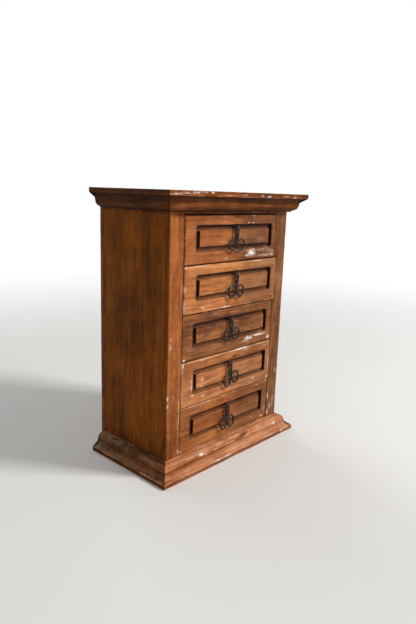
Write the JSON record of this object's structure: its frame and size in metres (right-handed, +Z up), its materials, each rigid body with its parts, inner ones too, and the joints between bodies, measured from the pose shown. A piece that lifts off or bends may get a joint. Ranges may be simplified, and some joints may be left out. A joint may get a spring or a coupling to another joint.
{
  "type": "mini chest of drawers",
  "caption": "Small upright wooden chest of stacked shallow drawers with a moulded cornice and plinth, routed drawer fronts and black iron drop pulls.",
  "frame": {"origin": "middle of the bounding box at the base, which stands on z = 0", "axes": "+Z up, the drawer fronts face -Y, +X to the right as seen from the front"},
  "size_m": [0.2268, 0.1292, 0.3],
  "materials": {
    "case_wood": "stained, worn satin",
    "moulding_wood": "stained, worn satin",
    "front_wood": "stained, worn satin",
    "inner_wood": "bare",
    "back_wood": "stained, matt",
    "black_iron": "blackened, semi-matt",
    "steel_nail": "dulled"
  },
  "bodies": {
    "carcass": {"side_left": "case_wood", "side_right": "case_wood", "top_board": "case_wood", "bottom_board": "inner_wood", "bottom_rail": "case_wood", "back_panel": "back_wood", "divider_1": "inner_wood", "divider_2": "inner_wood", "divider_3": "inner_wood", "divider_4": "inner_wood", "cornice_front": "moulding_wood", "cornice_left": "moulding_wood", "cornice_right": "moulding_wood", "plinth_front": "moulding_wood", "plinth_left": "moulding_wood", "plinth_right": "moulding_wood", "back_nails": "steel_nail", "moulding_brads": "steel_nail"},
    "drawer_1": {"drawer_1_front": "front_wood", "drawer_1_side_left": "inner_wood", "drawer_1_side_right": "inner_wood", "drawer_1_back": "inner_wood", "drawer_1_bottom": "inner_wood", "drawer_1_pins": "steel_nail", "drawer_1_eye": "black_iron"},
    "drop_1": {"drawer_1_drop": "black_iron"},
    "drawer_2": {"drawer_2_front": "front_wood", "drawer_2_side_left": "inner_wood", "drawer_2_side_right": "inner_wood", "drawer_2_back": "inner_wood", "drawer_2_bottom": "inner_wood", "drawer_2_pins": "steel_nail", "drawer_2_eye": "black_iron"},
    "drop_2": {"drawer_2_drop": "black_iron"},
    "drawer_3": {"drawer_3_front": "front_wood", "drawer_3_side_left": "inner_wood", "drawer_3_side_right": "inner_wood", "drawer_3_back": "inner_wood", "drawer_3_bottom": "inner_wood", "drawer_3_pins": "steel_nail", "drawer_3_eye": "black_iron"},
    "drop_3": {"drawer_3_drop": "black_iron"},
    "drawer_4": {"drawer_4_front": "front_wood", "drawer_4_side_left": "inner_wood", "drawer_4_side_right": "inner_wood", "drawer_4_back": "inner_wood", "drawer_4_bottom": "inner_wood", "drawer_4_pins": "steel_nail", "drawer_4_eye": "black_iron"},
    "drop_4": {"drawer_4_drop": "black_iron"},
    "drawer_5": {"drawer_5_front": "front_wood", "drawer_5_side_left": "inner_wood", "drawer_5_side_right": "inner_wood", "drawer_5_back": "inner_wood", "drawer_5_bottom": "inner_wood", "drawer_5_pins": "steel_nail", "drawer_5_eye": "black_iron"},
    "drop_5": {"drawer_5_drop": "black_iron"}
  },
  "joints": [
    {"name": "drawer_1_slide", "type": "slide", "parent": "carcass", "child": "drawer_1", "axis": [0, -1, 0], "range_m": [0, 0.08]},
    {"name": "drop_1_swing", "type": "hinge", "parent": "drawer_1", "child": "drop_1", "pos_m": [0.0009, -0.0502, 0.2621], "axis": [-1, 0, 0], "range_deg": [-3.5, 115]},
    {"name": "drawer_2_slide", "type": "slide", "parent": "carcass", "child": "drawer_2", "axis": [0, -1, 0], "range_m": [-0.0018, 0.08]},
    {"name": "drop_2_swing", "type": "hinge", "parent": "drawer_2", "child": "drop_2", "pos_m": [0.0014, -0.052, 0.2112], "axis": [-1, 0, 0], "range_deg": [-3.5, 115]},
    {"name": "drawer_3_slide", "type": "slide", "parent": "carcass", "child": "drawer_3", "axis": [0, -1, 0], "range_m": [0, 0.08]},
    {"name": "drop_3_swing", "type": "hinge", "parent": "drawer_3", "child": "drop_3", "pos_m": [-0.0024, -0.0502, 0.1603], "axis": [-1, 0, 0], "range_deg": [-3.5, 115]},
    {"name": "drawer_4_slide", "type": "slide", "parent": "carcass", "child": "drawer_4", "axis": [0, -1, 0], "range_m": [-0.0005, 0.08]},
    {"name": "drop_4_swing", "type": "hinge", "parent": "drawer_4", "child": "drop_4", "pos_m": [-0.0018, -0.0507, 0.1094], "axis": [-1, 0, 0], "range_deg": [-3.5, 115]},
    {"name": "drawer_5_slide", "type": "slide", "parent": "carcass", "child": "drawer_5", "axis": [0, -1, 0], "range_m": [0, 0.08]},
    {"name": "drop_5_swing", "type": "hinge", "parent": "drawer_5", "child": "drop_5", "pos_m": [-0.0025, -0.0502, 0.0585], "axis": [-1, 0, 0], "range_deg": [-3.5, 115]}
  ]
}
